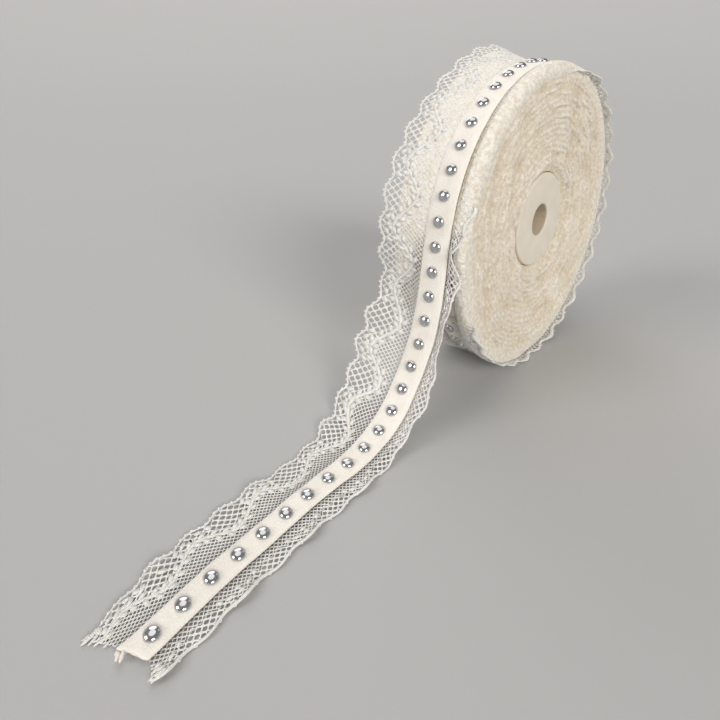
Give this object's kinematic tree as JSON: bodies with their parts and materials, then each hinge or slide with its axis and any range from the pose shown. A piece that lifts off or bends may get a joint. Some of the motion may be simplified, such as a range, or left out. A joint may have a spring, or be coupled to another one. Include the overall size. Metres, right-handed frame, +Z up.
{
  "type": "spool of lace ribbon",
  "caption": "Roll of scalloped cream lace ribbon on a plastic core, with a suede-like tape of dome studs along its middle and a loose end lying on the floor.",
  "frame": {"origin": "on the floor, at the middle of the flat that the roll rests on under its wider lace edge", "axes": "+Z up, +X along the roll's axis towards the narrower lace edge, the loose end runs out towards -Y"},
  "size_m": [0.041, 0.248, 0.1223],
  "materials": {
    "lace": "matte cotton lace",
    "tape": "matte suede-like nap",
    "stud": "polished",
    "core": "smooth matte"
  },
  "bodies": {
    "root": {"core": "core", "loose_end": "lace", "roll": "lace", "stud_01": "stud", "stud_02": "stud", "stud_03": "stud", "stud_04": "stud", "stud_05": "stud", "stud_06": "stud", "stud_07": "stud", "stud_08": "stud", "stud_09": "stud", "stud_10": "stud", "stud_11": "stud", "stud_12": "stud", "stud_13": "stud", "stud_14": "stud", "stud_15": "stud", "stud_16": "stud", "stud_17": "stud", "stud_18": "stud", "stud_19": "stud", "stud_20": "stud", "stud_21": "stud", "stud_22": "stud", "stud_23": "stud", "stud_24": "stud", "stud_25": "stud", "stud_26": "stud", "stud_27": "stud", "stud_28": "stud", "stud_29": "stud", "stud_30": "stud", "stud_31": "stud", "stud_32": "stud", "stud_33": "stud", "stud_34": "stud", "stud_35": "stud", "stud_36": "stud", "stud_37": "stud", "stud_38": "stud", "stud_39": "stud", "stud_40": "stud", "stud_41": "stud", "stud_42": "stud", "stud_43": "stud", "stud_44": "stud", "stud_45": "stud", "stud_46": "stud", "stud_47": "stud", "stud_48": "stud", "stud_49": "stud", "stud_50": "stud", "stud_51": "stud", "stud_52": "stud", "stud_53": "stud", "stud_54": "stud", "stud_55": "stud", "tape": "tape"}
  },
  "joints": []
}
